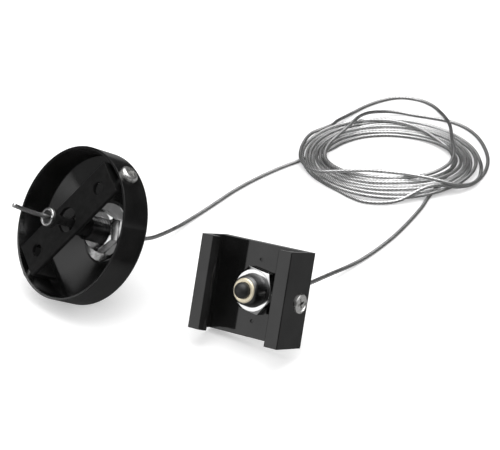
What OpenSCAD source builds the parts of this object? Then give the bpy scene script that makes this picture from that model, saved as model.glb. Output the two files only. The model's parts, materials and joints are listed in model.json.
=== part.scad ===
// Wire-rope suspension kit for lighting track: ceiling cup with a cable gripper,
// two metres of thin steel rope in a loose coil, and a track clip. Millimetres, +Z up.
// The kit lies on the surface z = 0, with the cup on its side.

/* [Ceiling cup] */
// Outer diameter of the cup
cup_d = 60; // [58:0.5:64]
// Wall thickness
cup_wall = 1; // [0.8:0.1:1.2]
// Straight part of the side wall
cup_straight = 11.5; // [11:0.5:14]
// Outer radius where the wall turns into the base
cup_fillet = 1.5; // [1.3:0.1:2]
// Slope of the dished base in degrees
cup_dish = 26; // [24:1:28]
// Height of the mouth's direction above level in degrees
cup_rise = 30.6; // [28:0.2:33]
// Heading of the mouth in degrees
cup_heading = 220.4; // [215:0.2:225]

/* [Crossbar] */
// Width of the bar
bar_w = 14.6; // [14:0.2:16]
// Thickness of the bar
bar_t = 1.5; // [1.2:0.1:1.6]
// Turn of the bar in the cup's mouth in degrees
bar_turn = 60; // [50:1:70]
// Distance of each ceiling screw hole from the middle
bar_hole_x = 19; // [17:0.5:20]
// Diameter of the ceiling screw holes
bar_hole_d = 5.2; // [4.5:0.1:5.6]

/* [Cable gripper] */
// Thread diameter of the gripper body
grip_d = 10; // [9.8:0.1:10.2]
// Across flats of the nut in the cup
grip_nut_af = 15; // [14:0.5:17]
// Diameter of the washer under that nut
washer_d = 23.5; // [22:0.5:24]
// Travel of the release sleeve
release_travel = 2; // [1.5:0.1:2.1]
// Half angle of the clamping cone in degrees
cone_angle = 10; // [9:0.5:11]

/* [Steel rope] */
// Diameter of the rope
rope_d = 1.6; // [1.5:0.1:1.7]
// Length of the free tail past the rim plane
tail_out = 28.3; // [24:0.1:32]
// Inner radius of the coil
coil_in = 28; // [27:0.5:29]
// Outer radius of the coil
coil_out = 42; // [41:0.5:43]
// Height of the coil
coil_h = 8; // [7:0.5:9]

/* [Track clip] */
// Width across the clip
clip_w = 40; // [38:0.5:42]
// Length along the track
clip_len = 35.2; // [34:0.2:38]
// Depth from the lips to the back
clip_depth = 15.9; // [15.5:0.1:16.5]
// Depth of the channel floor behind the lips
floor_depth = 11.5; // [11:0.1:11.8]
// Thickness of the side walls
clip_wall = 1.8; // [1.6:0.1:2]
// Width of each lip
lip_w = 5.6; // [5:0.1:6.2]
// Across flats of the nut in the channel
clip_nut_af = 15.9; // [15:0.1:16.5]
// Turn of that nut in degrees
clip_nut_turn = 20.9; // [0:0.1:60]
// Travel of the clamp jaw
jaw_travel = 2; // [1:0.1:2.2]

/* [Hidden] */
$fn = 64;
gap = 0.05;
edge = 0.25;
cup_r = cup_d / 2;
seat_r = 12.8;
cup_shoulder = cup_straight + cup_fillet * cos(cup_dish);
cup_slope_run = cup_r - cup_fillet + cup_fillet * sin(cup_dish) - seat_r;
cup_base = cup_shoulder + cup_slope_run * tan(cup_dish);
cup_seat = cup_base - cup_wall;
cup_lift = cup_fillet + (cup_r - cup_fillet) * cos(cup_rise) + cup_straight * sin(cup_rise);
cup_pos = [-34.9, 13, cup_lift];
clip_pos = [29.8, -26.3, 24.6];
clip_tilt = 66;
clip_heading = 232;
clip_roll = 96.7;
clip_out = [sin(clip_tilt) * cos(clip_heading), sin(clip_tilt) * sin(clip_heading), cos(clip_tilt)];
cup_out = [cos(cup_rise) * cos(cup_heading), cos(cup_rise) * sin(cup_heading), sin(cup_rise)];

// crossbar
bar_top = bar_t;
bar_end = [-25.2, 26.9];
bar_shift = [0.5, 0.6, 0];
bar_mid_hole_d = 9.8;
tab_len = 10;
side_screw_h = 5;

// M4 screws
screw_r = 2;
screw_hole_r = 2.15;
screw_head_r = 3.6;
screw_head_h = 2.2;
low_head_h = 0.9;
side_screw_len = 7;

// gripper, heights counted behind the rim plane
washer_t = 1;
grip_nut_t = 4;
grip_hex_t = 3;
grip_hex_af = 15;
barrel_r = 6;
barrel_end = cup_base + 7;
sleeve_r = 2.8;
sleeve_bore_r = 0.95;
slim_r = 1.75;
sleeve_hole_r = 2.9;
nose_end = barrel_end + release_travel + 0.2;
cone_end = barrel_end - 3.5;
cone_small_r = 2.95;
chamber_r = 3.85;
cone_start = cone_end - (chamber_r - cone_small_r) / tan(cone_angle);
thread_top = 8.5;
cap_top = 3;
cap_r = 4;
spigot_end = 9.5;
shoulder_h = 16;
shoulder_t = 1;
shoulder_r = 3.7;
ball_r = 1.17;
ball_place_r = 2;
ball_gap = 0.03;
ball_cone_r = ball_place_r + (ball_r + ball_gap) / cos(cone_angle);
ball_h = cone_end - (ball_cone_r - cone_small_r) / tan(cone_angle);
window_r = 1.22;
spring_r = 3.3;
spring_wire = 0.45;
spring_turns = 6;
spring_steps = 20;
collar_bottom = 8.3;
collar_top = 10.9;
collar_r = 3.7;
ring_top = 11.6;
ring_r = 3.55;
ring_in_r = 2.6;
sleeve_end = 11.2;

// clip fittings, heights counted behind the lips
lip_t = 1.6;
rib_t = 1;
rib_depth = 4.4;
pocket_x = 5.8;
pocket_half = 7.6;
pocket_depth = 15.1;
screw_depth = 10.5;
screw_side = -1;
stud_r = 4.95;
stud_hole_r = 5;
stud_top = 5;
stud_bore_r = 1;
stop_bore_r = 3.15;
stop_seat = 8.6;
flange_af = 14;
flange_t = 2.5;
nose_back = 24;
clip_nut_t = 2.8;
cone_low_r = 6.35;
cone_high_r = 5.1;
cone_top = 3.4;
seat_ring_top = 2.9;
seat_ring_r = 4.6;
stop_r = 3.05;
stop_top = -0.4;
jaw_x = [12.4, 17.2];
jaw_half = 7.2;
jaw_low = 13.2;
jaw_high = 7.8;
hook_t = 1.6;
hook_top = 4.4;
ering_r = 2.8;
ering_x = [17.35, 18.05];
shank_end = 10;

// coil and the rope's free stretches
rope_r = rope_d / 2;
coil_pos = [97.2, 133.9, 0];
cup_route = [[-12.8, 32.6, 14.6], [-10.4, 35.9, 12.6], [-8.2, 39.7, 10.7], [-5.6, 45.4, 8.2],
    [-2.6, 52.5, 5.8], [1, 60.7, 3.5], [5.2, 69.1, 1.8], [10.2, 77.7, 1], [15.4, 85.6, 0.85],
    [20.6, 93.5, 0.85], [25.7, 101.3, 0.85], [30.9, 108.3, 0.85], [36.2, 114.7, 0.85], [41.6, 120.6, 0.85],
    [47.1, 126.1, 0.85], [52.2, 130.7, 0.85], [55.5, 133.3, 0.85]];
clip_route = [[45.8, -5.9, 13.3], [48.4, -2.6, 11.8], [51.2, 1.1, 10.3], [54.2, 5.3, 8.7], [58, 11.3, 6.8],
    [62.4, 18.3, 4.9], [67.2, 25.1, 3.3], [72.4, 31.8, 1.9], [77.7, 38.2, 1.1], [82.9, 44.7, 0.85],
    [88.2, 51.9, 0.85], [93.8, 60.3, 0.85], [99.6, 70.5, 0.85], [105.6, 82.2, 0.85], [109.1, 89.9, 0.85],
    [110.6, 94.1, 0.85]];
loop_route = [[72.8, 168.5, 3.5], [76.2, 176.4, 2.4], [80.7, 183.9, 1.4], [85.7, 190.9, 0.9], [91.2, 197.4, 0.85],
    [96.2, 201.9, 0.85], [101.2, 205.3, 0.85], [105.7, 207.4, 0.85], [110.2, 207.9, 0.85], [114.5, 206.7, 0.85],
    [118.2, 204.4, 0.85], [121.5, 201.2, 0.85], [124.2, 197.4, 0.85], [126.2, 192.9, 1.2], [127.6, 187.9, 2],
    [128.4, 182.9, 3.2], [128.8, 177.9, 4.4], [129, 172.9, 5.6], [128.8, 168.1, 6.6]];
tube_sides = 8;

// points on an arc of radius r about [cx, cy]
function arc(cx, cy, r, a0, a1, n) =
    [for (i = [0:n]) [cx + r * cos(a0 + (a1 - a0) * i / n), cy + r * sin(a0 + (a1 - a0) * i / n)]];

// half section of the cup, moved inward by o
function cup_section(o) = concat(
    [[0, o > 0 ? 5 : 0], [cup_r - o, o > 0 ? 5 : 0]],
    arc(cup_r - cup_fillet, -cup_straight, cup_fillet - o, 0, cup_dish - 90, 6),
    [[seat_r - o * tan(cup_dish / 2), o - cup_base], [0, o - cup_base]]);

// places drawn in the cup's own frame: z out of the mouth, rim plane z = 0, x level
module in_cup() {
    translate(cup_pos) rotate([0, 90 - cup_rise, cup_heading]) rotate([0, 0, 90]) children();
}

// places drawn in the clip's own frame: z out of the channel, lips z = 0, x across
module in_clip() {
    translate(clip_pos) rotate([0, clip_tilt, clip_heading]) rotate([0, 0, clip_roll]) children();
}

// round bar between two depths behind the reference plane
module rod(r, deep, shallow) {
    translate([0, 0, -deep]) cylinder(r = r, h = deep - shallow);
}

// round bar with bevelled ends
module bevelled_rod(r, deep, shallow, bevel) {
    rotate_extrude() polygon([[0, -deep], [r - bevel, -deep], [r, bevel - deep],
        [r, -shallow - bevel], [r - bevel, -shallow], [0, -shallow]]);
}

// hexagon bar with its corners turned off at both ends
module hex_block(af, deep, shallow, turn) {
    corner_r = af / sqrt(3);
    turned = (corner_r - af / 2) * 0.55;
    intersection() {
        rotate([0, 0, turn]) translate([0, 0, -deep]) cylinder(r = corner_r, h = deep - shallow, $fn = 6);
        rotate_extrude() polygon([[0, -deep], [af / 2 - 0.2, -deep], [corner_r + 0.1, turned - deep],
            [corner_r + 0.1, -shallow - turned], [af / 2 - 0.2, -shallow], [0, -shallow]]);
    }
}

// pan head screw along x, its seat at x = 0 and its shank towards -x
module pan_screw(shank) {
    rotate([0, 90, 0]) difference() {
        rotate_extrude() polygon(concat(
            [[0, -shank], [screw_r - 0.4, -shank], [screw_r, 0.4 - shank], [screw_r, 0], [screw_head_r, 0],
             [screw_head_r, screw_head_h * 0.35]],
            arc(screw_head_r - 1.2, screw_head_h * 0.35, 1.2, 15, 80, 5),
            [[0, screw_head_h]]));
        for (a = [0, 90]) rotate([0, 0, a + 20]) translate([-1.9, -0.4, 0.75]) cube([3.8, 0.8, 5]);
        translate([0, 0, 0.75]) cylinder(r1 = 0.6, r2 = 1.25, h = screw_head_h);
    }
}

// M4 screw along +x: low dished cross-slot head from x = 0, shank behind it
module dished_screw(shank) {
    dish_r = 2.7;
    rotate([0, 90, 0]) difference() {
        rotate_extrude() polygon([[0, -shank], [screw_r - 0.4, -shank], [screw_r, 0.4 - shank], [screw_r, 0],
            [screw_head_r, 0], [screw_head_r, low_head_h - 0.3], [screw_head_r - 0.3, low_head_h],
            [dish_r + 0.2, low_head_h], [dish_r, low_head_h - 0.35], [0, low_head_h - 0.35]]);
        for (a = [0, 90]) rotate([0, 0, a + 20]) translate([-2, -0.45, -0.6]) cube([4, 0.9, 3]);
    }
}

// one ring of a tube's points about p, square to direction t
function tube_ring(p, t, r) =
    let (side = cross(t, [0, 0, 1]), a = side / norm(side), b = cross(a, t))
    [for (k = [0:tube_sides - 1]) p + r * (cos(k * 360 / tube_sides) * a + sin(k * 360 / tube_sides) * b)];

// unit direction of a route at its point i
function heading(route, i) =
    let (last = len(route) - 1, d = route[min(i + 1, last)] - route[max(i - 1, 0)]) d / norm(d);

// rings of a route, then its skin
module tube(route, r) {
    count = len(route);
    points = [for (i = [0:count - 1]) each tube_ring(route[i], heading(route, i), r)];
    skin = [for (i = [0:count - 2]) for (k = [0:tube_sides - 1])
        [i * tube_sides + k, i * tube_sides + (k + 1) % tube_sides,
         (i + 1) * tube_sides + (k + 1) % tube_sides, (i + 1) * tube_sides + k]];
    first = [for (k = [tube_sides - 1:-1:0]) k];
    final = [for (k = [0:tube_sides - 1]) (count - 1) * tube_sides + k];
    polyhedron(points = points, faces = concat([first], skin, [final]));
}

// pressed steel cup that hides the ceiling fixing
module canopy_cup() {
    color([0.03, 0.03, 0.03]) in_cup() difference() {
        rotate_extrude($fn = 128) polygon(cup_section(0));
        rotate_extrude($fn = 128) polygon(cup_section(cup_wall));
        translate([0, 0, -cup_base - 1]) cylinder(r = grip_d / 2 + gap, h = 4);
        for (side = [0, 180]) rotate([0, 0, bar_turn + side])
            translate([cup_r - 4, 0, -side_screw_h]) rotate([0, 90, 0]) cylinder(r = screw_hole_r, h = 6);
    }
}

// plate screwed to the ceiling, with a tapped tab at each end that the cup is screwed to
module crossbar() {
    half = bar_w / 2;
    color([0.04, 0.04, 0.04]) in_cup() rotate([0, 0, bar_turn]) difference() {
        union() {
            translate([bar_end[0], bar_shift[1], 0]) rotate([90, 0, 90])
                linear_extrude(bar_end[1] - bar_end[0]) polygon([[-half, 0], [half, 0],
                    [half, bar_top - edge], [half - edge, bar_top], [edge - half, bar_top],
                    [-half, bar_top - edge]]);
            for (x = [bar_end[0], bar_end[1] - bar_t])
                translate([x, bar_shift[1] - half, -tab_len]) cube([bar_t, bar_w, tab_len + bar_t / 2]);
        }
        for (side = [-1, 1]) translate([side * bar_hole_x, 0, -1] + bar_shift)
            cylinder(d = bar_hole_d, h = bar_top + 2);
        translate([0, 0, -1] + bar_shift) cylinder(d = bar_mid_hole_d, h = bar_top + 2);
        translate([-cup_r, 0, -side_screw_h]) rotate([0, 90, 0]) cylinder(r = screw_r, h = cup_d);
    }
}

// one of the two screws through the cup's wall
module canopy_screw(side) {
    color([0.75, 0.75, 0.76]) in_cup() rotate([0, 0, bar_turn + side])
        translate([cup_r, 0, -side_screw_h]) pan_screw(side_screw_len);
}

// washer on the flat of the cup's base
module gripper_washer() {
    color([0.8, 0.8, 0.8]) in_cup() difference() {
        bevelled_rod(washer_d / 2, cup_seat, cup_seat - washer_t, 0.15);
        rod(grip_d / 2 + 0.2, cup_seat + 1, cup_seat - washer_t - 1);
    }
}

// nut that holds the gripper in the cup
module gripper_nut() {
    deep = cup_seat - washer_t;
    color([0.8, 0.8, 0.8]) in_cup() difference() {
        hex_block(grip_nut_af, deep, deep - grip_nut_t, -4);
        rod(grip_d / 2, deep + 1, deep - grip_nut_t - 1);
    }
}

// barrel with the clamping cone, threaded through the cup
module gripper_body() {
    groove_from = thread_top + 0.8;
    grooves = 5;
    color([0.05, 0.05, 0.05]) in_cup() difference() {
        union() {
            bevelled_rod(grip_d / 2 - gap, cup_base + 1, thread_top, 0.3);
            hex_block(grip_hex_af, cup_base + grip_hex_t, cup_base, 10);
            bevelled_rod(barrel_r, barrel_end, cup_base + grip_hex_t - 0.5, 0.5);
        }
        for (i = [0:grooves - 1]) rotate_extrude()
            translate([grip_d / 2 - gap, -groove_from - i]) polygon([[0.1, -0.4], [-0.3, 0], [0.1, 0.4]]);
        rod(sleeve_hole_r, barrel_end + 1, cone_end - 1);
        translate([0, 0, -cone_end]) cylinder(r1 = cone_small_r, r2 = chamber_r, h = cone_end - cone_start);
        rod(chamber_r, cone_start, thread_top - 1);
    }
}

// screwed cap that closes the spring chamber
module gripper_cap() {
    color([0.05, 0.05, 0.05]) in_cup() difference() {
        union() {
            bevelled_rod(cap_r, thread_top, cap_top, 0.3);
            rod(chamber_r - gap, spigot_end, thread_top - 0.5);
        }
        rod(sleeve_hole_r, spigot_end + 1, cap_top - 1);
    }
}

// long tube that carries the balls: pushing its nose lets the rope run
module release_sleeve() {
    neck_r = sleeve_r - 0.4;
    end_r = ring_in_r - gap;
    color([0.06, 0.06, 0.06]) in_cup() difference() {
        rotate_extrude() polygon([[sleeve_bore_r, -nose_end], [neck_r, -nose_end],
            [sleeve_r, 0.4 - nose_end], [sleeve_r, -shoulder_h - shoulder_t],
            [shoulder_r, -shoulder_h - shoulder_t], [shoulder_r, -shoulder_h], [sleeve_r, -shoulder_h],
            [sleeve_r, 0.3 - cap_top], [slim_r, 1.3 - cap_top], [slim_r, collar_bottom - 0.8],
            [neck_r, collar_bottom], [neck_r, collar_top],
            [end_r, collar_top], [end_r, sleeve_end], [sleeve_bore_r, sleeve_end]]);
        for (k = [0:2]) rotate([0, 0, k * 120]) translate([0, 0, -ball_h])
            rotate([0, 90, 0]) cylinder(r = window_r, h = 5);
    }
}

// black collar on the sleeve's upper end
module sleeve_collar() {
    color([0.04, 0.04, 0.04]) in_cup() difference() {
        bevelled_rod(collar_r, -collar_bottom, -collar_top, 0.4);
        rod(sleeve_r - 0.4, 0, -collar_top - 1);
    }
}

// bright ring that finishes the sleeve's upper end
module sleeve_ring() {
    color([0.8, 0.8, 0.8]) in_cup() difference() {
        bevelled_rod(ring_r, -collar_top, -ring_top, 0.2);
        rod(ring_in_r, 0, -ring_top - 1);
    }
}

// compression spring that keeps the balls in the cone
module gripper_spring() {
    low = spigot_end + spring_wire / 2 + gap;
    high = shoulder_h - spring_wire / 2 - gap;
    steps = spring_turns * spring_steps;
    coil = [for (i = [0:steps]) let (a = i * 360 / spring_steps)
        [spring_r * cos(a), spring_r * sin(a), -low - (high - low) * i / steps]];
    color([0.7, 0.7, 0.7]) in_cup() tube(coil, spring_wire / 2);
}

// one of the three balls that bite on the rope
module gripper_ball(k) {
    color([0.85, 0.85, 0.85]) in_cup() rotate([0, 0, k * 120])
        translate([ball_place_r, 0, -ball_h]) sphere(r = ball_r, $fn = 32);
}

// straight stretch of rope through the gripper, with its free tail
module rope_core() {
    color([0.6, 0.6, 0.6]) in_cup() rod(rope_r, nose_end, -tail_out);
}

// rope from the gripper's nose down to the coil
module rope_cup_lead() {
    color([0.6, 0.6, 0.6]) tube(concat([cup_pos - nose_end * cup_out], cup_route), rope_r);
}

// outer shape of the coiled rope
module rope_coil() {
    side = 3;
    color([0.6, 0.6, 0.6]) translate(coil_pos) rotate_extrude($fn = 96) polygon(concat(
        [[coil_in + side, 0]], arc(coil_out - side, side, side, -90, 0, 4),
        arc(coil_out - side, coil_h - side, side, 0, 90, 4),
        arc(coil_in + side, coil_h - side, side, 90, 180, 4),
        arc(coil_in + side, side, side, 180, 270, 4)));
}

// loose turn that has sprung out behind the coil
module rope_loop() {
    color([0.6, 0.6, 0.6]) tube(loop_route, rope_r);
}

// rope from the coil to the end stop inside the clip
module rope_clip_lead() {
    color([0.6, 0.6, 0.6]) tube(concat([clip_pos - stop_seat * clip_out, clip_pos - nose_back * clip_out],
        clip_route), rope_r);
}

// swaged stop with a domed end
module rope_end_stop() {
    dome = 2.7;
    color([0.05, 0.05, 0.05]) in_clip() rotate_extrude() polygon(concat(
        [[0, -stop_seat], [stop_r - 0.3, -stop_seat], [stop_r, 0.3 - stop_seat]],
        arc(stop_r - dome, -stop_top - dome, dome, 0, 90, 8), [[0, -stop_top]]));
}

// outline of the clip's channel section, as x across and y out of the mouth
module clip_section() {
    half = clip_w / 2;
    inner = half - clip_wall;
    mouth = half - lip_w;
    round_r = 2.2;
    nose = 13.2;
    nose_t = 2.6;
    difference() {
        polygon([[edge - half, -clip_depth], [half - edge, -clip_depth], [half, edge - clip_depth],
            [half, -edge], [half - edge, 0], [edge - half, 0], [-half, -edge], [-half, edge - clip_depth]]);
        polygon(concat([[-inner, -floor_depth], [inner, -floor_depth], [inner, -rib_depth],
            [inner - rib_t, -rib_depth], [inner - rib_t, -lip_t], [mouth, -lip_t], [mouth, -edge],
            [mouth - edge, 1], [-nose - round_r, 1]],
            arc(-nose - round_r, -round_r, round_r, 90, 0, 8),
            [[-nose, -nose_t], [rib_t - inner, -nose_t], [rib_t - inner, -rib_depth], [-inner, -rib_depth]]));
    }
}

// extruded channel that hooks over the track
module clip_body() {
    dimple_r = 0.6;
    color([0.03, 0.03, 0.03]) in_clip() difference() {
        translate([0, clip_len / 2, 0]) rotate([90, 0, 0]) linear_extrude(clip_len) clip_section();
        rod(stud_hole_r, clip_depth + 1, 0);
        translate([pocket_x, -pocket_half, -pocket_depth])
            cube([clip_w / 2 - clip_wall - pocket_x, 2 * pocket_half, pocket_depth - floor_depth + 1]);
        translate([pocket_x, screw_side, -screw_depth]) rotate([0, 90, 0])
            cylinder(r = screw_hole_r, h = clip_w);
        for (side = [-1, 1]) translate([0, side * 11.5, -floor_depth - 0.4]) cylinder(r = dimple_r, h = 1);
    }
}

// hollow stud that takes the rope through the back of the clip
module clip_stud() {
    back = clip_depth + flange_t;
    color([0.2, 0.2, 0.21]) in_clip() difference() {
        union() {
            bevelled_rod(stud_r, clip_depth + 0.2, stud_top, 0.3);
            hex_block(flange_af, back, clip_depth, 0);
            translate([0, 0, -nose_back]) cylinder(r1 = 2.2, r2 = 4.2, h = nose_back - back);
        }
        rod(stud_bore_r, nose_back + 1, 0);
        rod(stop_bore_r, stop_seat, 0);
    }
}

// nut on the channel floor
module clip_nut() {
    color([0.82, 0.82, 0.82]) in_clip() difference() {
        hex_block(clip_nut_af, floor_depth, floor_depth - clip_nut_t, clip_nut_turn + 30);
        rod(stud_hole_r, clip_depth, 0);
    }
}

// dark conical cap over the stud
module clip_cone() {
    low = floor_depth - clip_nut_t;
    color([0.25, 0.25, 0.26]) in_clip() difference() {
        rotate_extrude() polygon([[0, -low], [cone_low_r - 0.2, -low], [cone_low_r, 0.2 - low],
            [cone_high_r + 0.35, -cone_top - 1], [cone_high_r, -cone_top - 0.4],
            [cone_high_r - 0.4, -cone_top], [0, -cone_top]]);
        rod(stud_hole_r, low + 1, stud_top);
        rod(seat_ring_r, stud_top + 0.5, 0);
    }
}

// pale bush around the end stop
module seat_ring() {
    color([0.85, 0.8, 0.65]) in_clip() difference() {
        bevelled_rod(seat_ring_r - gap, stud_top, seat_ring_top, 0.4);
        rod(stop_bore_r, stud_top + 1, 0);
    }
}

// screw in the clip's side wall that moves the jaw
module clamp_screw() {
    color([0.75, 0.75, 0.76]) in_clip() translate([clip_w / 2, screw_side, -screw_depth])
        dished_screw(clip_w / 2 - shank_end);
}

// split ring that keeps the clamp screw in its wall
module screw_retainer() {
    color([0.7, 0.7, 0.7]) in_clip() translate([ering_x[0], screw_side, -screw_depth]) rotate([0, 90, 0])
        difference() {
            cylinder(r = ering_r, h = ering_x[1] - ering_x[0]);
            translate([0, 0, -1]) cylinder(r = screw_r, h = 4);
            translate([-0.8, 0, -1]) cube([1.6, 4, 4]);
        }
}

// threaded block with a hook that grips the track
module clamp_jaw() {
    color([0.06, 0.06, 0.06]) in_clip() difference() {
        union() {
            translate([jaw_x[0], -jaw_half, -jaw_low])
                cube([jaw_x[1] - jaw_x[0], 2 * jaw_half, jaw_low - jaw_high]);
            translate([jaw_x[1] - hook_t, -jaw_half, -jaw_high - 0.5])
                cube([hook_t, 2 * jaw_half, jaw_high + 0.5 - hook_top]);
        }
        translate([0, screw_side, -screw_depth]) rotate([0, 90, 0]) cylinder(r = screw_r + gap, h = clip_w);
    }
}

canopy_cup();
crossbar();
canopy_screw(0);  // canopy_screw_upper
canopy_screw(180);  // canopy_screw_lower
gripper_washer();
gripper_nut();
gripper_body();
gripper_cap();
release_sleeve();
sleeve_collar();
sleeve_ring();
gripper_spring();
gripper_ball(0);  // gripper_ball_1
gripper_ball(1);  // gripper_ball_2
gripper_ball(2);  // gripper_ball_3
rope_core();
rope_cup_lead();
rope_coil();
rope_loop();
rope_clip_lead();
rope_end_stop();
clip_body();
clip_stud();
clip_nut();
clip_cone();
seat_ring();
clamp_screw();
screw_retainer();
clamp_jaw();
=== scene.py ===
"""Wire-rope suspension kit: the rope as a real stranded cord, and the looks of every part."""
import json
import math

import bpy
import numpy as np
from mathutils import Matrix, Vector


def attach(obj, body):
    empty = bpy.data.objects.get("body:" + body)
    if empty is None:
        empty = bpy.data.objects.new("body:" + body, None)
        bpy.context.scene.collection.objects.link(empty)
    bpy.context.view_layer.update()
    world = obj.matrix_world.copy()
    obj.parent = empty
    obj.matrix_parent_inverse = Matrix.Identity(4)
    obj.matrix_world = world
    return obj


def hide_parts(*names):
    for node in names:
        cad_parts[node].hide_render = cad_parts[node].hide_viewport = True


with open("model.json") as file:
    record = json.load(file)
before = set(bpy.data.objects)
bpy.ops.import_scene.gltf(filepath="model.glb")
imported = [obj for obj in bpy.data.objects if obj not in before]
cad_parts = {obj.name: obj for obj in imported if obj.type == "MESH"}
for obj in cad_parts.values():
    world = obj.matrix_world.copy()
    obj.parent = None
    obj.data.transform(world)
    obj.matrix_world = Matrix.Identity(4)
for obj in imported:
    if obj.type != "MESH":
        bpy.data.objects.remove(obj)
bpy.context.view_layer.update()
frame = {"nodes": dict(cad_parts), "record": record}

MM = 0.001
ROPE_D = 0.0016
ROPE_R = ROPE_D / 2

CUP_TILT = math.radians(59.4)
CUP_HEADING = math.radians(220.4)
CUP_MID = Vector((-0.0349, 0.013, 0.03188))
CLIP_TILT = math.radians(66)
CLIP_HEADING = math.radians(232)
CLIP_MID = Vector((0.0298, -0.0263, 0.0246))
COIL_MID = Vector((0.0972, 0.1339, 0))


def heading(tilt, turn):
    """Direction that leans by tilt from straight up, towards turn."""
    return Vector((math.sin(tilt) * math.cos(turn), math.sin(tilt) * math.sin(turn), math.cos(tilt)))


CUP_OUT = heading(CUP_TILT, CUP_HEADING)
CLIP_OUT = heading(CLIP_TILT, CLIP_HEADING)

# depths along the cup's axis and the clip's axis: inwards from the mouth, or outwards for the two ends
GRIP_DEPTH = 0.006
CUP_HALFWAY = 0.018
NOSE_DEPTH = 0.03003
COLLAR_END = 0.0116
TAIL_END = 0.0283
STOP_DEPTH = 0.0086
CLIP_HALFWAY = 0.016
CLIP_NOSE_DEPTH = 0.024

# ---------------------------------------------------------------- camera

SENSOR_MM = 36
LENS_MM = 115.2
CAMERA_AT = (0.0339, -0.5281, 0.3125)
CAMERA_DOWN = math.radians(27.5)


def make_camera():
    """The view from the front: a long lens, tilted down by CAMERA_DOWN."""
    data = bpy.data.cameras.new("camera")
    data.sensor_width = SENSOR_MM
    data.lens = LENS_MM
    data.clip_start = 0.01
    data.clip_end = 20
    camera = bpy.data.objects.new("camera", data)
    bpy.context.scene.collection.objects.link(camera)
    camera.location = CAMERA_AT
    camera.rotation_euler = (math.radians(90) - CAMERA_DOWN, 0, 0)
    bpy.context.scene.camera = camera


make_camera()

# ---------------------------------------------------------------- the rope's route

CUP_ROUTE = [
    (-0.0128, 0.0326, 0.0146), (-0.0104, 0.0359, 0.0126), (-0.0082, 0.0397, 0.0107),
    (-0.0056, 0.0454, 0.0082), (-0.0026, 0.0525, 0.0058), (0.001, 0.0607, 0.0035),
    (0.0052, 0.0691, 0.0018), (0.0102, 0.0777, 0.001), (0.0154, 0.0856, 0.00085),
    (0.0206, 0.0935, 0.00085), (0.0257, 0.1013, 0.00085), (0.0309, 0.1083, 0.00085),
    (0.0362, 0.1147, 0.00085), (0.0416, 0.1206, 0.00085), (0.0471, 0.1261, 0.00085),
    (0.0522, 0.1307, 0.00085), (0.0555, 0.1333, 0.00085),
]
CLIP_ROUTE = [
    (0.0458, -0.0059, 0.0133), (0.0484, -0.0026, 0.0118), (0.0512, 0.0011, 0.0103),
    (0.0542, 0.0053, 0.0087), (0.058, 0.0113, 0.0068), (0.0624, 0.0183, 0.0049),
    (0.0672, 0.0251, 0.0033), (0.0724, 0.0318, 0.0019), (0.0777, 0.0382, 0.0011),
    (0.0829, 0.0447, 0.00085), (0.0882, 0.0519, 0.00085), (0.0938, 0.0603, 0.00085),
    (0.0996, 0.0705, 0.00085), (0.1056, 0.0822, 0.00085), (0.1091, 0.0899, 0.00085),
    (0.1106, 0.0941, 0.00085),
]
LOOP_ROUTE = [
    (0.0728, 0.1685, 0.0035), (0.0762, 0.1764, 0.0024), (0.0807, 0.1839, 0.0014),
    (0.0857, 0.1909, 0.0009), (0.0912, 0.1974, 0.00085), (0.0962, 0.2019, 0.00085),
    (0.1012, 0.2053, 0.00085), (0.1057, 0.2074, 0.00085), (0.1102, 0.2079, 0.00085),
    (0.1145, 0.2067, 0.00085), (0.1198, 0.2033, 0.00085), (0.1241, 0.1972, 0.00085),
    (0.1268, 0.1889, 0.0011), (0.1282, 0.1773, 0.0028), (0.1285, 0.1651, 0.0048),
    (0.1276, 0.151, 0.0064),
]
# stretches that cross the coil, as (angle in degrees, radius in mm, height in mm)
UNDER_LEFT = [(171, 36, 0.85), (162, 31, 0.85), (151, 28.6, 0.85), (135, 28.2, 0.85), (112, 28.6, 0.85)]
OVER_FRONT = [
    (-18, 42.6, 2.2), (-28, 43.7, 2), (-37, 43.8, 2.2), (-45, 42.9, 3.2),
    (-52.3, 41.2, 4.9), (-59, 38.4, 6.6), (-67, 35, 7.9),
    (-77.4, 31.4, 8.6), (-93.7, 29, 9), (-111.2, 29.2, 9), (-126.8, 32.1, 8.2), (-138.1, 35.6, 7),
    (-147, 38.6, 5.8), (-158, 40.2, 4.8), (-170, 40.4, 4.2),
]
TO_LOOP = [(178, 40.3, 3.8), (162, 40.6, 3.8), (145, 42, 3.8)]
OFF_LOOP = [
    (11, 30, 7.6), (-3, 29.3, 7.8), (-18, 29.6, 7.6), (-34, 30.4, 7.2),
    (-60, 30.6, 6.9), (-90, 30.4, 7), (-130, 30.6, 6.2),
]
OVER_BACK = [
    (-162, 30.2, 5.6), (180, 28.9, 6.2), (165, 27.3, 7), (150, 26.2, 7.8), (134, 26.8, 8.6), (120, 30, 8.8),
    (110.5, 34.6, 8.4), (102.5, 40.4, 7), (96, 46, 5.2), (90, 50.6, 3.4),
    (84.5, 53.8, 2.1), (78.5, 55.2, 1.2),
    (72, 54.8, 0.85), (63.4, 54.9, 0.85), (54.2, 55.6, 0.85), (44.9, 54.8, 0.85), (33.3, 52, 0.85),
    (18.9, 48.3, 0.85), (1.4, 45.6, 0.85), (-17.2, 44, 0.85), (-33, 42.8, 0.85), (-46, 41, 2.2),
    (-57, 39.2, 4.6), (-66, 38.6, 5.6), (-74, 39, 4.8), (-81.5, 40, 3), (-88, 41.2, 1.4), (-95, 42.4, 0.85),
    (-102, 43.4, 0.85), (-109.5, 43.4, 0.85), (-118, 41.4, 0.85), (-129, 38.8, 0.85), (-143, 37.8, 0.85),
    (-160, 38.2, 0.95),
]
LAST_TURN = [
    (180, 39.2, 1.6), (160, 39.8, 2.2), (135, 39.6, 3.4), (110, 38.2, 4.2), (85, 36.2, 4.6), (62, 33.6, 4),
    (40, 31.2, 2.6),
]
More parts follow.
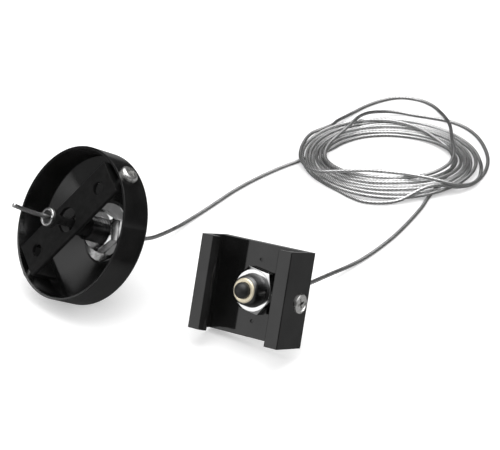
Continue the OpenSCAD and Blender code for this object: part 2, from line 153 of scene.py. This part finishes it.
UNDER_FRONT = [
    (20, 31, 1.4), (0, 29.8, 0.85), (-20, 29, 0.85), (-37, 29.8, 0.85), (-52, 32.4, 0.85), (-63, 36.6, 0.85),
]


def around(stretch):
    """Points of a stretch given as angle, radius and height about the coil's middle."""
    made = []
    for a, r, z in stretch:
        x = COIL_MID.x + r * MM * math.cos(math.radians(a))
        y = COIL_MID.y + r * MM * math.sin(math.radians(a))
        made.append((x, y, z * MM))
    return made


KEY_ANGLES = (-180, -90, 0, 90, 180)
# radii and heights of each regular turn at the next left, front, right, back and left, with its own wobble
TURNS = [
    ((29.8, 31.7, 30.8, 29.2, 28.6), (2, 6.6, 2.2, 0.85, 0.85), 0.3),
    ((31.2, 33.2, 32.5, 30.9, 29.8), (3, 5.8, 3, 1, 2), 1.7),
    ((32.7, 34.8, 34.2, 32.6, 31.2), (2.4, 4.9, 2, 1.8, 3), 2.9),
    ((34.2, 36.4, 35.9, 34.3, 32.7), (1.4, 4, 3.2, 2.6, 2.4), 4.4),
    ((35.7, 38, 37.6, 36, 34.2), (0.9, 3, 1.6, 3.2, 1.4), 5.5),
    ((37.2, 39.6, 39.4, 37.7, 35.7), (1.2, 2, 2.6, 3.8, 0.9), 0.9),
    ((38.6, 41.2, 41.3, 39.4, 37.2), (0.9, 0.9, 1.8, 4.2, 1.2), 2.2),
]
# how far a turn strays, and the least height of the rope's middle over the floor, in mm
WOBBLE_R = 0.35
WOBBLE_Z = 0.35
LOWEST_Z = 0.85
POINT_ANGLE = 20


def turn(number, start, stop):
    """One clockwise turn of the coil from angle start to stop, as angle, radius and height."""
    radii, heights, phase = TURNS[number]
    count = max(2, round((start - stop) / POINT_ANGLE))
    made = []
    for i in range(count + 1):
        a = start + (stop - start) * i / count
        wave = math.sin(math.radians(3 * a) + phase)
        r = float(np.interp(a, KEY_ANGLES, radii)) + WOBBLE_R * wave
        z = float(np.interp(a, KEY_ANGLES, heights)) + WOBBLE_Z * math.cos(math.radians(2 * a) + 2 * phase)
        made.append((a, r, max(z, LOWEST_Z)))
    return made


def rope_points():
    """The whole route, from inside the gripper through the coil to the stop in the clip."""
    coil = (
        UNDER_LEFT
        + turn(0, 88, -170)
        + turn(1, 170, -170)
        + turn(2, 170, -170)
        + turn(3, 170, -170)
        + turn(4, 170, -170)
        + turn(5, 170, -170)
        + turn(6, 170, -4)
        + OVER_FRONT
        + TO_LOOP
    )
    coil_after_loop = OFF_LOOP + OVER_BACK + LAST_TURN + UNDER_FRONT
    cup_end = [CUP_MID - CUP_OUT * d for d in (GRIP_DEPTH, CUP_HALFWAY, NOSE_DEPTH)]
    clip_end = [CLIP_MID - CLIP_OUT * d for d in (CLIP_NOSE_DEPTH, CLIP_HALFWAY, STOP_DEPTH)]
    points = [tuple(p) for p in cup_end] + CUP_ROUTE
    first_free = len(points)
    points += around(coil) + LOOP_ROUTE + around(coil_after_loop)
    last_free = len(points)
    points += CLIP_ROUTE[::-1] + [tuple(p) for p in clip_end]
    return np.array(points), first_free, last_free


PER_SPAN = 24


def blend(u, start, stop, first, second):
    """The point at time u on the straight way from first at start to second at stop."""
    return (stop - u) / (stop - start) * first + (u - start) / (stop - start) * second


def spline(points, step):
    """Evenly spaced points, step apart, on a smooth curve through points, and each knot's arc length."""
    chord = np.linalg.norm(np.diff(points, axis=0), axis=1) ** 0.5
    knots = np.concatenate([[0], np.cumsum(chord)])
    before = 2 * points[0] - points[1]
    after = 2 * points[-1] - points[-2]
    padded = np.vstack([before, points, after])
    times = np.concatenate([[-chord[0]], knots, [knots[-1] + chord[-1]]])
    dense = []
    marks = []
    for i in range(1, len(padded) - 2):
        p, t = padded[i - 1:i + 3], times[i - 1:i + 3]
        marks.append(len(dense))
        for u in np.linspace(t[1], t[2], PER_SPAN, endpoint=False):
            a = [blend(u, t[k], t[k + 1], p[k], p[k + 1]) for k in range(3)]
            b = [blend(u, t[k], t[k + 2], a[k], a[k + 1]) for k in range(2)]
            dense.append(blend(u, t[1], t[2], b[0], b[1]))
    marks.append(len(dense))
    dense.append(points[-1])
    dense = np.array(dense)
    along = np.concatenate([[0], np.cumsum(np.linalg.norm(np.diff(dense, axis=0), axis=1))])
    count = max(2, int(round(along[-1] / step)))
    places = np.linspace(0, along[-1], count + 1)
    even = np.stack([np.interp(places, along, dense[:, k]) for k in range(3)], axis=1)
    return even, along[marks]


def spread_over(shift, rounds):
    """shift, evened out along the rope."""
    for _ in range(rounds):
        shift[1:-1] = 0.5 * shift[1:-1] + 0.25 * (shift[:-2] + shift[2:])
    return shift


SETTLE_ROUNDS = 160
NEIGHBOURS = 8
FADE_POINTS = 10


def settle(points, first, last):
    """Pushes the coil's turns apart, to lie beside or over each other, and keeps them off the floor.

    The shift is evened out along the rope, so it stays smooth. Only points first to last move.
    """
    home = points.copy()
    now = points.copy()
    count = len(points)
    index = np.arange(count)
    far = np.abs(index[:, None] - index[None, :]) > NEIGHBOURS
    weight = np.clip(np.minimum(index - first, last - index) / FADE_POINTS, 0, 1)[:, None]
    room = 1.04 * ROPE_D
    for _ in range(SETTLE_ROUNDS):
        gap = now[:, None, :] - now[None, :, :]
        away = np.linalg.norm(gap, axis=2) + 1e-9
        close = far & (away < room)
        push = np.where(close, (room - away) / away, 0)[:, :, None] * gap
        push[:, :, 2] *= 1.5
        hits = np.maximum(close.sum(axis=1), 1)[:, None]
        shift = now - home + 0.9 * push.sum(axis=1) / hits * weight
        shift = spread_over(shift, 2) * (0.999 * weight)
        now = home + shift
        now[:, 2] = np.maximum(now[:, 2], ROPE_R + 0.00001)
    return now


def frames(line):
    """Unit tangents, and two directions across them that don't twist along the line."""
    tangent = np.gradient(line, axis=0)
    tangent /= np.linalg.norm(tangent, axis=1)[:, None]
    across = np.cross(tangent[0], (0, 0, 1))
    sides = []
    for t in tangent:
        across = across - t * across.dot(t)
        across /= np.linalg.norm(across)
        sides.append(across)
    side = np.array(sides)
    return tangent, side, np.cross(tangent, side)


STRANDS = 6
PER_STRAND = 4
LAY = 0.0105
CUT_BULGE = 0.00012


def rope_mesh(name, line, cut_ends):
    """A rope of outer strands laid round each other, swept along line. Its columns follow the strands."""
    sides = STRANDS * PER_STRAND
    tangent, side, up = frames(line)
    along = np.concatenate([[0], np.cumsum(np.linalg.norm(np.diff(line, axis=0), axis=1))])
    column = np.arange(sides)
    bulge = np.cos(column * 2 * math.pi / PER_STRAND)
    radius = ROPE_R * (0.99 + 0.06 * bulge)
    angle = column * 2 * math.pi / sides
    turned = angle[None, :] + along[:, None] * 2 * math.pi / LAY
    ring = np.cos(turned)[:, :, None] * side[:, None, :] + np.sin(turned)[:, :, None] * up[:, None, :]
    points = (line[:, None, :] + ring * radius[None, :, None]).reshape(-1, 3)
    faces = []
    rings = len(line)
    for i in range(rings - 1):
        for k in range(sides):
            n = (k + 1) % sides
            faces.append((i * sides + k, i * sides + n, (i + 1) * sides + n, (i + 1) * sides + k))
    mesh = bpy.data.meshes.new(name)
    caps = []
    verts = points.tolist()
    for end, ring_at in ((0, 0), (1, rings - 1)):
        middle = line[ring_at] + tangent[ring_at] * (CUT_BULGE if end else -CUT_BULGE) * cut_ends
        verts.append(middle.tolist())
        for k in range(sides):
            a, b = ring_at * sides + k, ring_at * sides + (k + 1) % sides
            caps.append((len(verts) - 1, b, a) if end == 0 else (len(verts) - 1, a, b))
    mesh.from_pydata(verts, [], faces + caps)
    layer = mesh.uv_layers.new(name="rope")
    u = np.zeros(len(mesh.loops))
    v = np.zeros(len(mesh.loops))
    at = 0
    for i in range(rings - 1):
        for k in range(sides):
            u[at:at + 4] = (k, k + 1, k + 1, k)
            v[at:at + 4] = (along[i], along[i], along[i + 1], along[i + 1])
            at += 4
    flat = np.stack([u / PER_STRAND, v / LAY], axis=1).reshape(-1)
    layer.data.foreach_set("uv", flat)
    mesh.polygons.foreach_set("use_smooth", [True] * len(mesh.polygons))
    obj = bpy.data.objects.new(name, mesh)
    bpy.context.scene.collection.objects.link(obj)
    return obj


SETTLE_STEP = 0.0022
ROPE_STEP = 0.0008
TAIL_STEP = 0.0006
# distance out along the gripper's axis, and sideways lift, of the tail's points
TAIL_BEND = ((-0.0065, 0), (0.004, 0), (COLLAR_END, 0), (0.017, 0.00012), (0.023, 0.0005), (TAIL_END, 0.0011))


def make_rope():
    """The main rope and the short tail that stands out of the gripper."""
    points, first_free, last_free = rope_points()
    line, marks = spline(points, SETTLE_STEP)
    step = marks[-1] / (len(line) - 1)
    settled = settle(line, round(marks[first_free - 2] / step), round(marks[last_free + 1] / step))
    line, marks = spline(settled, ROPE_STEP)
    rope = rope_mesh("rope", line, 0)
    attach(rope, "cup_and_rope")
    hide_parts("rope_cup_lead", "rope_coil", "rope_loop", "rope_clip_lead")
    lift = Vector((0, 0, 1)) - CUP_OUT * CUP_OUT.z
    tail_points = np.array([tuple(CUP_MID + CUP_OUT * d + lift * b) for d, b in TAIL_BEND])
    tail_line, _ = spline(tail_points, TAIL_STEP)
    tail = rope_mesh("rope_tail", tail_line, 1)
    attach(tail, "cup_and_rope")
    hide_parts("rope_core")
    return rope, tail


rope, tail = make_rope()

# ---------------------------------------------------------------- materials

EDGE_R = 0.00035


def new_material(name):
    """An empty node material and its shader."""
    material = bpy.data.materials.new(name)
    material.use_nodes = True
    nodes = material.node_tree.nodes
    return material, nodes, material.node_tree.links, nodes["Principled BSDF"]


def noise(nodes, links, scale, detail=3, coordinates=None):
    """A noise texture in the part's own coordinates, in metres."""
    texture = nodes.new("ShaderNodeTexNoise")
    texture.inputs["Scale"].default_value = scale
    texture.inputs["Detail"].default_value = detail
    source = coordinates or nodes.new("ShaderNodeTexCoord").outputs["Object"]
    links.new(source, texture.inputs["Vector"])
    return texture.outputs["Fac"]


def ramp(nodes, links, source, stops):
    """A colour ramp over source. stops are (place, colour) pairs."""
    node = nodes.new("ShaderNodeValToRGB")
    elements = node.color_ramp.elements
    while len(elements) < len(stops):
        elements.new(0.5)
    for element, (place, colour) in zip(elements, stops):
        element.position = place
        element.color = (*colour, 1) if len(colour) == 3 else colour
    links.new(source, node.inputs["Fac"])
    return node.outputs["Color"]


def grey(value):
    return (value, value, value)


def between(nodes, links, source, low, high, start=0.3, stop=0.7):
    """source spread from low to high."""
    node = nodes.new("ShaderNodeMapRange")
    node.inputs["From Min"].default_value = start
    node.inputs["From Max"].default_value = stop
    node.inputs["To Min"].default_value = low
    node.inputs["To Max"].default_value = high
    links.new(source, node.inputs["Value"])
    return node.outputs["Result"]


def bump(nodes, links, height, distance, strength, shader, before=None):
    """Bump from height, in metres."""
    node = nodes.new("ShaderNodeBump")
    node.inputs["Distance"].default_value = distance
    node.inputs["Strength"].default_value = strength
    links.new(height, node.inputs["Height"])
    if before:
        links.new(before, node.inputs["Normal"])
    links.new(node.outputs["Normal"], shader.inputs["Normal"])
    return node.outputs["Normal"]


def soft_edges(nodes):
    """Normals rounded over the edges, as a thick coat of paint or plating rounds them."""
    node = nodes.new("ShaderNodeBevel")
    node.samples = 4
    node.inputs["Radius"].default_value = EDGE_R
    return node.outputs["Normal"]


def gloss_black(name, dark, light, rough, peel):
    """Gloss black paint with a faint orange peel and soft smudges."""
    material, nodes, links, shader = new_material(name)
    patches = noise(nodes, links, 90, 4)
    tone = ramp(nodes, links, patches, [(0.35, grey(dark)), (0.7, grey(light))])
    links.new(tone, shader.inputs["Base Color"])
    links.new(between(nodes, links, noise(nodes, links, 160, 5), *rough), shader.inputs["Roughness"])
    shader.inputs["IOR"].default_value = 1.5
    bump(nodes, links, noise(nodes, links, 700, 2), 0.00002, peel, shader, soft_edges(nodes))
    return material


def plated(name, dark, light, rough, metallic, tint=(1, 1, 1), scale=500, depth=0.3, sheen=0.5, worn=True):
    """Bright or dark plating with fine unevenness in colour, gloss and surface."""
    material, nodes, links, shader = new_material(name)
    low = tuple(dark * t for t in tint)
    high = tuple(light * t for t in tint)
    tone = ramp(nodes, links, noise(nodes, links, scale, 4), [(0.3, low), (0.75, high)])
    links.new(tone, shader.inputs["Base Color"])
    links.new(between(nodes, links, noise(nodes, links, 260, 5), *rough), shader.inputs["Roughness"])
    shader.inputs["Metallic"].default_value = metallic
    shader.inputs["Specular IOR Level"].default_value = sheen
    edges = soft_edges(nodes) if worn else None
    bump(nodes, links, noise(nodes, links, 1800, 2), 0.00001, depth, shader, edges)
    return material


def turned(name, dark, light, rough, metallic, axis, pitch, depth, tint=(1, 1, 1)):
    """Metal turned on a lathe about axis: fine rings in its gloss and surface."""
    material, nodes, links, shader = new_material(name)
    place = nodes.new("ShaderNodeTexCoord").outputs["Object"]
    along = nodes.new("ShaderNodeVectorMath")
    along.operation = "DOT_PRODUCT"
    along.inputs[1].default_value = axis
    links.new(place, along.inputs[0])
    scaled = nodes.new("ShaderNodeMath")
    scaled.operation = "MULTIPLY"
    scaled.inputs[1].default_value = 2 * math.pi / pitch
    links.new(along.outputs["Value"], scaled.inputs[0])
    wave = nodes.new("ShaderNodeMath")
    wave.operation = "SINE"
    links.new(scaled.outputs[0], wave.inputs[0])
    low = tuple(dark * t for t in tint)
    high = tuple(light * t for t in tint)
    links.new(
        ramp(nodes, links, noise(nodes, links, 400, 4, place), [(0.3, low), (0.75, high)]),
        shader.inputs["Base Color"],
    )
    links.new(between(nodes, links, noise(nodes, links, 500, 4, place), *rough), shader.inputs["Roughness"])
    shader.inputs["Metallic"].default_value = metallic
    bump(nodes, links, wave.outputs[0], 0.000006, depth, shader)
    return material


def rope_material():
    """Bright steel wires: painted shade darkens the grooves between the strands, and fine wires run across
    each strand.
    """
    material, nodes, links, shader = new_material("steel_rope_look")
    place = nodes.new("ShaderNodeUVMap")
    place.uv_map = "rope"
    parts = nodes.new("ShaderNodeSeparateXYZ")
    links.new(place.outputs["UV"], parts.inputs[0])
    strand = nodes.new("ShaderNodeMath")
    strand.operation = "PINGPONG"
    strand.inputs[1].default_value = 0.5
    links.new(parts.outputs["X"], strand.inputs[0])
    wires_at = nodes.new("ShaderNodeMath")
    wires_at.operation = "MULTIPLY_ADD"
    wires_at.inputs[1].default_value = 3
    links.new(parts.outputs["X"], wires_at.inputs[0])
    along = nodes.new("ShaderNodeMath")
    along.operation = "MULTIPLY"
    along.inputs[1].default_value = 14
    links.new(parts.outputs["Y"], along.inputs[0])
    links.new(along.outputs[0], wires_at.inputs[2])
    angle = nodes.new("ShaderNodeMath")
    angle.operation = "MULTIPLY"
    angle.inputs[1].default_value = 2 * math.pi
    links.new(wires_at.outputs[0], angle.inputs[0])
    wires = nodes.new("ShaderNodeMath")
    wires.operation = "SINE"
    links.new(angle.outputs[0], wires.inputs[0])
    # painted shade: each strand's colour falls from pale on its crown to near black in the grooves where the
    # strands meet
    tone = ramp(
        nodes, links, strand.outputs[0], [(0.0, grey(0.92)), (0.3, grey(0.76)), (0.5, grey(0.14))]
    )
    patches = ramp(nodes, links, noise(nodes, links, 220, 4), [(0.3, grey(0.8)), (0.7, grey(1.0))])
    mixed = nodes.new("ShaderNodeMix")
    mixed.data_type = "RGBA"
    mixed.blend_type = "MULTIPLY"
    mixed.inputs["Factor"].default_value = 1
    links.new(tone, mixed.inputs["A"])
    links.new(patches, mixed.inputs["B"])
    links.new(mixed.outputs["Result"], shader.inputs["Base Color"])
    links.new(between(nodes, links, noise(nodes, links, 600, 3), 0.28, 0.38), shader.inputs["Roughness"])
    shader.inputs["Metallic"].default_value = 1
    bump(nodes, links, wires.outputs[0], 0.00002, 0.3, shader)
    return material


paint = gloss_black("black_paint_look", 0.006, 0.012, (0.05, 0.1), 0.08)
satin = plated("black_plating_look", 0.012, 0.024, (0.25, 0.4), 0.0)
chrome = plated("bright_chrome_look", 0.72, 0.86, (0.06, 0.14), 1.0, scale=300, depth=0.15)
zinc = plated("screw_plating_look", 0.72, 0.9, (0.2, 0.28), 0.9, tint=(1, 0.995, 0.98), depth=0.1, worn=False)
gunmetal = turned("gunmetal_look", 0.13, 0.17, (0.3, 0.36), 1.0, CLIP_OUT, 0.00022, 0.15)
sleeve_black = turned("sleeve_black_look", 0.008, 0.014, (0.2, 0.26), 0.0, CUP_OUT, 0.0002, 0.15)
cup_paint = gloss_black("cup_paint_look", 0.005, 0.01, (0.13, 0.18), 0.05)
bar_paint = plated("bar_paint_look", 0.005, 0.011, (0.34, 0.42), 0.0, depth=0.1, sheen=0.14)
pale = turned("pale_brass_look", 0.78, 0.92, (0.3, 0.42), 0.55, CLIP_OUT, 0.0002, 0.3, tint=(1, 0.9, 0.68))
rubber = plated("black_rubber_look", 0.01, 0.022, (0.38, 0.52), 0.0, depth=0.5)
spring = plated("spring_steel_look", 0.4, 0.6, (0.2, 0.35), 1.0)
steel_rope = rope_material()

LOOKS = {
    "black_paint": paint,
    "black_plating": satin,
    "bright_chrome": chrome,
    "screw_plating": zinc,
    "gunmetal": gunmetal,
    "pale_brass": pale,
    "black_rubber": rubber,
    "spring_steel": spring,
    "steel_rope": steel_rope,
}
OWN_LOOKS = {
    "release_sleeve": sleeve_black,
    "sleeve_collar": sleeve_black,
    "gripper_body": sleeve_black,
    "gripper_cap": sleeve_black,
    "canopy_cup": cup_paint,
    "crossbar": bar_paint,
}


def dress_nodes():
    """Every CAD node gets its own look, or else the look of its material slot."""
    for part in frame["record"]["subparts"]:
        obj = frame["nodes"][part["node"]]
        look = OWN_LOOKS.get(part["node"], LOOKS[part["material_slot"]])
        for place in obj.material_slots:
            place.material = look


dress_nodes()
for piece in (rope, tail):
    piece.data.materials.append(steel_rope)

# ---------------------------------------------------------------- floor and light


FLOOR_HALF = 3
FLOOR_GLOW = 0.35
FLOOR_SHADE = 0.8
FLOOR_IN_GLOSS = 0.2


def make_floor():
    """A plain pale floor, which glossy surfaces see darker than it is."""
    corners = [(x * FLOOR_HALF, y * FLOOR_HALF, 0) for x, y in ((-1, -1), (1, -1), (1, 1), (-1, 1))]
    mesh = bpy.data.meshes.new("floor")
    mesh.from_pydata(corners, [], [(0, 1, 2, 3)])
    floor = bpy.data.objects.new("floor", mesh)
    bpy.context.scene.collection.objects.link(floor)
    material, nodes, links, shader = new_material("floor_look")
    shader.inputs["Roughness"].default_value = 0.9
    shader.inputs["Specular IOR Level"].default_value = 0.1
    shader.inputs["Emission Color"].default_value = (1, 1, 1, 1)
    path = nodes.new("ShaderNodeLightPath")
    dim = nodes.new("ShaderNodeMapRange")
    dim.inputs["To Min"].default_value = FLOOR_GLOW
    dim.inputs["To Max"].default_value = 0
    links.new(path.outputs["Is Glossy Ray"], dim.inputs["Value"])
    links.new(dim.outputs["Result"], shader.inputs["Emission Strength"])
    stops = [(0, grey(FLOOR_SHADE)), (1, grey(FLOOR_IN_GLOSS))]
    shade = ramp(nodes, links, path.outputs["Is Glossy Ray"], stops)
    links.new(shade, shader.inputs["Base Color"])
    mesh.materials.append(material)


def area_light(name, place, aim, size, power):
    """A soft box at place, turned to aim."""
    data = bpy.data.lights.new(name, "AREA")
    data.shape = "RECTANGLE"
    data.size, data.size_y = size
    data.energy = power
    light = bpy.data.objects.new(name, data)
    light.location = place
    light.rotation_euler = (Vector(aim) - Vector(place)).to_track_quat("-Z", "Y").to_euler()
    bpy.context.scene.collection.objects.link(light)


def make_light():
    """A white room that glossy surfaces see as dark but for its ceiling, and soft boxes left and above."""
    world = bpy.data.worlds.new("room")
    bpy.context.scene.world = world
    world.use_nodes = True
    world.cycles.sampling_method = "NONE"
    nodes, links = world.node_tree.nodes, world.node_tree.links
    back = nodes["Background"]
    way = nodes.new("ShaderNodeSeparateXYZ")
    links.new(nodes.new("ShaderNodeTexCoord").outputs["Generated"], way.inputs[0])
    seen = nodes.new("ShaderNodeMapRange")
    seen.inputs["From Min"].default_value = 0.5
    seen.inputs["From Max"].default_value = 0.9
    seen.inputs["To Min"].default_value = 0.03
    seen.inputs["To Max"].default_value = 1.7
    links.new(way.outputs["Z"], seen.inputs["Value"])
    path = nodes.new("ShaderNodeLightPath")
    level = nodes.new("ShaderNodeMix")
    level.inputs["A"].default_value = 1
    links.new(path.outputs["Is Glossy Ray"], level.inputs["Factor"])
    links.new(seen.outputs["Result"], level.inputs["B"])
    links.new(level.outputs["Result"], back.inputs["Strength"])
    back.inputs["Color"].default_value = (1, 1, 1, 1)
    area_light("clip_box", (-0.9, -0.42, 0.3), (0.02, -0.03, 0.02), (0.5, 0.5), 1.0)
    area_light("cup_box", (-0.9, 0.155, 0.145), CUP_MID, (0.07, 0.06), 0.06)
    area_light("cup_haze", (-0.91, 0.165, 0.2), CUP_MID, (0.13, 0.2), 0.009)
    area_light("top_box", (0.1, 0.1, 1.1), (0.05, 0.05, 0), (0.8, 0.8), 4)


make_floor()
make_light()
bpy.context.scene.view_settings.view_transform = "Standard"
